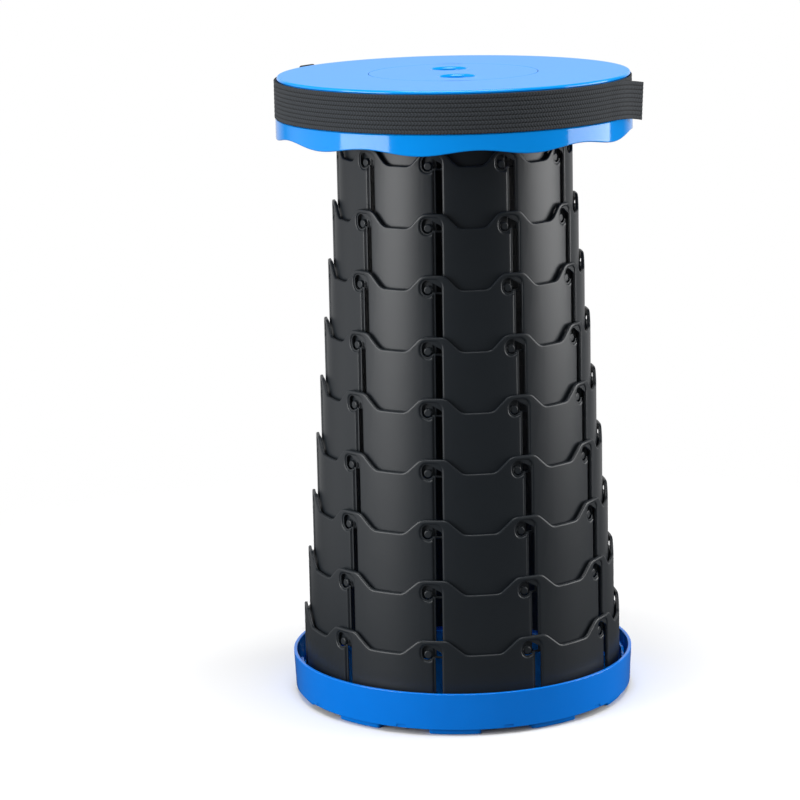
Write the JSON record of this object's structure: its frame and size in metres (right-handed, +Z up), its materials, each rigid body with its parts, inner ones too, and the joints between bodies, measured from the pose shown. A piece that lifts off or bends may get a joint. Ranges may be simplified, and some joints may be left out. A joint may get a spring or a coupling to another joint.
{
  "type": "collapsible telescopic stool",
  "caption": "Round stool whose wavy-edged rings slide into one another, with a strapped blue seat, a webbing carry handle and a blue base tray.",
  "frame": {"origin": "on the floor, at the centre of the base tray", "axes": "+Z up along the column, -Y to the front, away from the carry handle"},
  "size_m": [0.257, 0.3111, 0.4426],
  "materials": {
    "seat_blue": "glossy sky blue",
    "base_blue": "glossy deep blue",
    "ring_black": "satin charcoal black, fine texture",
    "webbing": "ribbed dark grey webbing",
    "buckle_black": "black",
    "rivet_steel": "polished domes"
  },
  "bodies": {
    "base": {"base_tray": "base_blue"},
    "ring_10": {"ring_10": "ring_black"},
    "ring_09": {"ring_09": "ring_black"},
    "ring_08": {"ring_08": "ring_black"},
    "ring_07": {"ring_07": "ring_black"},
    "ring_06": {"ring_06": "ring_black"},
    "ring_05": {"ring_05": "ring_black"},
    "ring_04": {"ring_04": "ring_black"},
    "ring_03": {"ring_03": "ring_black"},
    "ring_02": {"ring_02": "ring_black"},
    "seat": {"ring_01": "ring_black", "seat_shell": "seat_blue", "centre_cap": "seat_blue", "belt_webbing": "webbing", "handle_strap": "webbing", "handle_foot": "webbing", "strap_buckle": "buckle_black", "rivet_1": "rivet_steel", "rivet_2": "rivet_steel", "rivet_3": "rivet_steel", "rivet_4": "rivet_steel"},
    "handle": {"handle_loop": "webbing"}
  },
  "joints": [
    {"name": "ring_10_slide", "type": "slide", "parent": "base", "child": "ring_10", "axis": [0, 0, 1], "range_m": [-0.0036, 0]},
    {"name": "ring_09_slide", "type": "slide", "parent": "ring_10", "child": "ring_09", "axis": [0, 0, 1], "range_m": [-0.0415, 0]},
    {"name": "ring_08_slide", "type": "slide", "parent": "ring_09", "child": "ring_08", "axis": [0, 0, 1], "range_m": [-0.0415, 0]},
    {"name": "ring_07_slide", "type": "slide", "parent": "ring_08", "child": "ring_07", "axis": [0, 0, 1], "range_m": [-0.0415, 0]},
    {"name": "ring_06_slide", "type": "slide", "parent": "ring_07", "child": "ring_06", "axis": [0, 0, 1], "range_m": [-0.0415, 0]},
    {"name": "ring_05_slide", "type": "slide", "parent": "ring_06", "child": "ring_05", "axis": [0, 0, 1], "range_m": [-0.0415, 0]},
    {"name": "ring_04_slide", "type": "slide", "parent": "ring_05", "child": "ring_04", "axis": [0, 0, 1], "range_m": [-0.0415, 0]},
    {"name": "ring_03_slide", "type": "slide", "parent": "ring_04", "child": "ring_03", "axis": [0, 0, 1], "range_m": [-0.0415, 0]},
    {"name": "ring_02_slide", "type": "slide", "parent": "ring_03", "child": "ring_02", "axis": [0, 0, 1], "range_m": [-0.0415, 0]},
    {"name": "seat_slide", "type": "slide", "parent": "ring_02", "child": "seat", "axis": [0, 0, 1], "range_m": [-0.0415, 0]},
    {"name": "handle_hinge", "type": "hinge", "parent": "seat", "child": "handle", "pos_m": [-0.01187, 0.12327, 0.4271], "axis": [0.9954, 0.0958, 0], "range_deg": [0, 70]}
  ]
}
